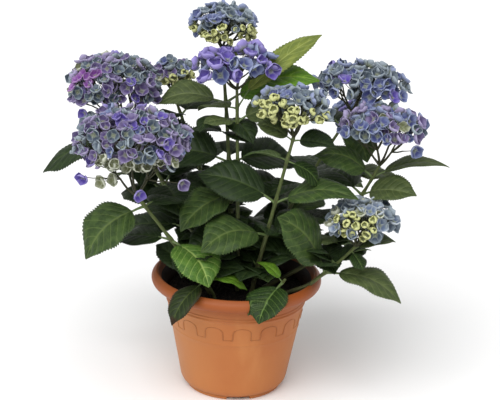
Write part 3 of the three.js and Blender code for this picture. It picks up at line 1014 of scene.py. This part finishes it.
soilSet = {
    "faces": 90, "relief": 3.2, "rough": 70, "under": 3.5, "deep": 40.0,  # mm, and noise steps for each metre
    "rimWide": 12, "rimFall": 3, "narrow": 0.94,                         # towards the wall and at the bottom
    "crumbs": 420, "crumbSize": (0.8, 3.0), "crumbShape": (0.6, 1.2), "crumbsIn": 0.95,
    "seed": 3,
}


def soilMaterial():
    material, tree, shader = nodeTree("compost", 0.95, 0.2)
    place = objectPlace(tree)
    coarse, fine = clouds(tree, place, 160.0, 6.0), clouds(tree, place, 900.0, 3.0)
    colour = ramp(tree, coarse, [(0.3, (0.004, 0.003, 0.0025)), (0.55, (0.012, 0.009, 0.007)),
                                 (0.75, (0.035, 0.024, 0.016))])
    finishLook(tree, shader, colour, sums(tree, "ADD", coarse, fine), 0.8, 0.0015)
    return material


def makeSoil(look):
    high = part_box("potting_soil")[1]
    radius, top = high[0] * 0.995, high[2]  # just inside the wall

    def relief(x, y):
        return noise.fractal(Vector((x, y, 0)) * look["rough"], 0.6, 2.1, 5) * look["relief"] * mm

    bm = bmesh.new()
    bmesh.ops.create_grid(bm, x_segments=look["faces"], y_segments=look["faces"], size=1)
    for v in bm.verts:
        x, y = v.co.x, v.co.y
        v.co.x, v.co.y = radius * x * math.sqrt(1 - y * y / 2), radius * y * math.sqrt(1 - x * x / 2)
        rim = min(1.0, (radius - v.co.xy.length) / (look["rimWide"] * mm))
        v.co.z = top - look["under"] * mm + relief(v.co.x, v.co.y) - (1 - rim) * look["rimFall"] * mm
    edges = [e for e in bm.edges if e.is_boundary]
    made = bmesh.ops.extrude_edge_only(bm, edges=edges)["geom"]
    for v in (g for g in made if isinstance(g, bmesh.types.BMVert)):
        v.co = Vector((v.co.x * look["narrow"], v.co.y * look["narrow"], top - look["deep"] * mm))
    bmesh.ops.contextual_create(bm, geom=[g for g in made if isinstance(g, bmesh.types.BMEdge)])
    bmesh.ops.recalc_face_normals(bm, faces=bm.faces[:])
    bmesh.ops.triangulate(bm, faces=[f for f in bm.faces if len(f.verts) > 4])
    rng = random.Random(look["seed"])
    for _ in range(look["crumbs"]):
        r, turn = radius * look["crumbsIn"] * math.sqrt(rng.random()), rng.uniform(*anyTurn)
        size = rng.uniform(*look["crumbSize"]) * mm
        x, y = r * math.cos(turn), r * math.sin(turn)
        spot = Vector((x, y, top - (look["under"] - 0.5) * mm + relief(x, y)))
        for v in bmesh.ops.create_icosphere(bm, subdivisions=1, radius=size)["verts"]:
            v.co = spot + v.co * rng.uniform(*look["crumbShape"])
    mesh = meshOf(bm, "compost")
    mesh.materials.append(soilMaterial())
    finishPiece("compost", mesh, ["potting_soil"])


makeSoil(soilSet)


potSet = {
    "steps": 240,
    "neck": (101.5, 134), "bend": (80, 20),                 # mm out and up, ends of the straight wall
    "foot": 70, "lip": 125, "mouth": 113, "wall": 3,        # mm
    "notches": 4, "notchTurn": 0.13, "notchWide": 0.245,    # radians
    "notchTall": 4.6, "notchKept": 0.15,                    # mm, and the share of its relief that stays
    "arches": 15, "archTurn": 0.118, "archLow": 105.5,      # radians, mm
    # the last number darkens the inside wall nearly to black: painted shade
    "ledge": 0.95, "faint": 0.55, "archShade": 0.8, "insideShade": 0.07,
}
# the raised line, for half of one arch: share of the half repeat from its middle, mm above its foot
archLine = [
    (0, 19.5), (0.17, 19.2), (0.33, 18.4), (0.46, 17.0), (0.55, 15.0), (0.6, 12.5), (0.615, 9), (0.62, 5),
    (0.625, 1.8), (0.64, 0.3), (0.67, 0), (0.85, 0),
]


def potMaterial(name, shade):
    material, tree, shader = nodeTree(name, 0.5, 0.28)
    place = objectPlace(tree)
    broad, fine = clouds(tree, place, 9.0, 3.0), clouds(tree, place, 240.0, 4.0)
    streaks = clouds(tree, stretch(tree, place, (30.0, 30.0, 5.0)), 1.0, 4.0)
    dark, mid, pale, lip = (tuple(c * shade for c in colour) for colour in (
        (0.385, 0.112, 0.028), (0.455, 0.160, 0.046), (0.570, 0.255, 0.085), (0.270, 0.062, 0.012)))
    colour = blend(tree, fade(tree, broad, 0.32, 0.68), dark, mid)
    colour = blend(tree, fade(tree, streaks, 0.5, 0.78, 0.0, 0.3), colour, pale)
    split = addNode(tree, "ShaderNodeSeparateXYZ", i0=place).outputs
    # painted light: the wall is paler on the left, where the key light falls
    paintedLightLeft = sums(tree, "MULTIPLY_ADD", broad, 0.08, split[0])  # paler on the left
    colour = blend(tree, fade(tree, paintedLightLeft, -0.06, 0.07, 0.5, 0.0), colour, pale)
    lift = sums(tree, "MULTIPLY_ADD", broad, 0.04, split[2])      # redder towards the rim
    colour = blend(tree, fade(tree, lift, 0.145, 0.18, 0.0, 0.85), colour, lip)
    tree.links.new(fade(tree, broad, 0.3, 0.7, 0.42, 0.58), shader.inputs["Roughness"])
    finishLook(tree, shader, colour, sums(tree, "MULTIPLY_ADD", fine, 0.4, streaks), 0.25, 0.0006)
    return material


def arcPoints(centre, radii, start, end, count):
    turns = np.linspace(math.radians(start), math.radians(end), count)
    return [(centre[0] + radii[0] * math.cos(t), centre[1] + radii[1] * math.sin(t)) for t in turns]


def wallRadius(look, z):
    (bendR, bendZ), (neckR, neckZ) = look["bend"], look["neck"]
    return neckR - (neckR - bendR) / (neckZ - bendZ) * (neckZ - z)


def potSection(look, tall):
    # Half the section in mm, from the middle of the underside, up the outside and down the inside
    foot, (bendR, bendZ), (neckR, neckZ) = look["foot"], look["bend"], look["neck"]
    lip, mouth, wall = look["lip"], look["mouth"], look["wall"]
    line = [(0, 3.0), (foot - 18, 3.0), (foot - 16, 0.6), (foot - 15, 0)]    # hollow underside, foot ring
    line += arcPoints((foot - 1.2, 1.2), (1.2, 1.2), -90, 0, 4)
    line += [(foot + 0.6, 4.6), (foot + 0.1, 5.0), (foot + 0.8, 5.6)]        # line above the foot ring
    line += [(foot + 10 * math.sin(t), 6 + 16 * (1 - math.cos(t))) for t in np.linspace(0.25, 1.15, 8)]
    line += [(wallRadius(look, z), z) for z in np.linspace(line[-1][1] + 4, 96, 12)]
    # faint line below the arches
    line += [(wallRadius(look, 96.4) + 0.5, 96.8), (wallRadius(look, 97.5), 97.6)]
    line += [(wallRadius(look, z), z) for z in np.linspace(101, neckZ - 2, 8)]
    for bead in (neckZ + 1.5, neckZ + 6):                                     # two fine beads
        line += arcPoints((neckR + 0.6, bead), (1.1, 1.7), -80, 80, 5)
    line += [(neckR + out, neckZ + rise) for out, rise in ((1.2, 8.4), (1.8, 14), (4.5, 19), (9.5, 22))]
    line += [(lip - 8.5, neckZ + 22.8)]
    line += arcPoints((lip - 9, neckZ + 32.5), (9, 9.2), -66, 62, 14)         # rolled rim
    line += arcPoints((mouth + 4, tall - 3.4), (3.4, 3.4), 62, 170, 7)
    line += [(mouth - 2.5, tall - 9), (neckR + 1, neckZ + 20), (neckR - wall, neckZ - 4)]
    return line + [(bendR - wall, bendZ), (foot, 6.5), (foot - 4, 6), (0, 6)]


def makePot(look):
    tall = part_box("pot")[1][2] / mm
    bm = bmesh.new()
    verts = [bm.verts.new((r * mm, 0, z * mm)) for r, z in potSection(look, tall)]
    edges = [bm.edges.new(pair) for pair in zip(verts, verts[1:])]
    bmesh.ops.spin(bm, geom=verts + edges, cent=(0, 0, 0), axis=(0, 0, 1), angle=2 * math.pi,
                   steps=look["steps"], use_merge=True)
    bmesh.ops.remove_doubles(bm, verts=bm.verts[:], dist=1e-6)
    bmesh.ops.recalc_face_normals(bm, faces=bm.faces[:])
    for f in bm.faces:
        middle = f.calc_center_median()
        inward = middle.xy.dot(f.normal.xy) < 0 and middle.z > look["bend"][1] * mm
        below = middle.xy.length < (look["mouth"] - 2) * mm and middle.z < (tall - 5) * mm
        f.material_index = int(inward and below)  # the inside, painted nearly black as painted shade, starts under the rim
        f.smooth = True
    quarter, notchTall = 2 * math.pi / look["notches"], look["notchTall"] * mm
    for v in bm.verts:
        turn = (math.atan2(v.co.y, v.co.x) - look["notchTurn"] + quarter / 2) % quarter - quarter / 2
        onRing = v.co.z < notchTall and v.co.xy.length > (look["foot"] - 17) * mm
        if abs(turn) < look["notchWide"] and onRing:
            v.co.z = notchTall + v.co.z * look["notchKept"]
    mesh = meshOf(bm, "pot")
    mesh.materials.append(potMaterial("mouldedClayColour", 1.0))
    # the inside wall takes a nearly black copy of the clay colour: painted shade
    mesh.materials.append(potMaterial("shadedInside", look["insideShade"]))
    finishPiece("pot_shell", mesh, ["pot"])
    makeArcade(look, potMaterial("archLine", look["archShade"]))


def makeArcade(look, material):
    # The raised line that runs round the pot in arches
    half = math.pi / look["arches"]
    repeat = [(-share, rise) for share, rise in reversed(archLine)] + archLine[1:]
    line = [((2 * k + share) * half, look["archLow"] + rise)
            for k in range(look["arches"]) for share, rise in repeat]
    turns, heights = np.array(line + [line[0]]).T
    turns[-1] += 2 * math.pi
    turns += look["archTurn"] - math.pi / 2
    radius = wallRadius(look, heights)
    path = np.stack([radius * np.cos(turns), radius * np.sin(turns), heights], 1)
    away = np.stack([np.cos(turns), np.sin(turns), np.zeros(len(turns))], 1)
    ahead = np.gradient(path, axis=0)
    ahead[0] = ahead[-1] = path[1] - path[-2]
    ahead /= np.linalg.norm(ahead, axis=1)[:, None]
    inward = np.cross(away, ahead)
    tube = tubeShape(4, len(path) - 1)
    ring = np.round(tube["points"][:, 2] * (len(path) - 1)).astype(int)
    side = np.round(np.arctan2(tube["points"][:, 1], tube["points"][:, 0]) / (math.pi / 2)).astype(int) % 4
    # each corner of the line: mm proud of the wall, mm back from its edge
    proud, back = np.array([[-0.8, -0.7], [look["ledge"], 0.0], [look["ledge"], 0.9], [-0.8, 2.4]])[side].T
    upright = np.clip(np.abs(ahead[:, 2]) * 1.3 - 0.15, look["faint"], 1)[ring]  # strong on the legs only
    points = path[ring] + (away[ring] * proud[:, None] + inward[ring] * back[:, None]) * upright[:, None]
    makePiece("pot_arcade", [(tube, points * mm, 0, 0)], [material], smooth=False)


makePot(potSet)
print("pot made")


stageSet = {
    "eye": (0.0160, -2.200, 1.0502), "down": 19.14, "lean": 2.0,   # m, degrees
    "lens": 115.7, "sensor": 36,                                   # mm
    "world": 0.64, "sun": 2.45, "soft": 55, "sunTo": (0.38, 1.0, -1.4),
    "floorRadius": 14, "floor": (0.93, 0.93, 0.93),
}


def makeStage(look):
    bm = bmesh.new()
    bmesh.ops.create_circle(bm, cap_ends=True, segments=96, radius=look["floorRadius"])
    mesh = meshOf(bm, "floor")
    material, _, shader = nodeTree("palePaper", 0.9, 0.1)
    shader.inputs["Base Color"].default_value = (*look["floor"], 1)
    mesh.materials.append(material)
    stand("floor", mesh)
    world = bpy.data.worlds.new("studio")
    world.use_nodes = True
    background = world.node_tree.nodes["Background"]
    background.inputs["Color"].default_value = (1.0, 1.0, 1.0, 1)
    background.inputs["Strength"].default_value = look["world"]
    bpy.context.scene.world = world
    light = bpy.data.lights.new("key", "SUN")
    light.energy, light.angle = look["sun"], math.radians(look["soft"])
    stand("key", light).rotation_euler = Vector(look["sunTo"]).to_track_quat("-Z", "Y").to_euler()
    camera = bpy.data.cameras.new("camera")
    camera.lens, camera.sensor_width = look["lens"], look["sensor"]
    eye = stand("camera", camera)
    nod = Matrix.Rotation(math.radians(90 - look["down"]), 4, "X")
    roll = Matrix.Rotation(math.radians(look["lean"]), 4, "Z")
    eye.matrix_world = Matrix.Translation(look["eye"]) @ nod @ roll
    bpy.context.scene.camera = eye
    bpy.context.scene.view_settings.view_transform = "Standard"
    print("stage set")


makeStage(stageSet)
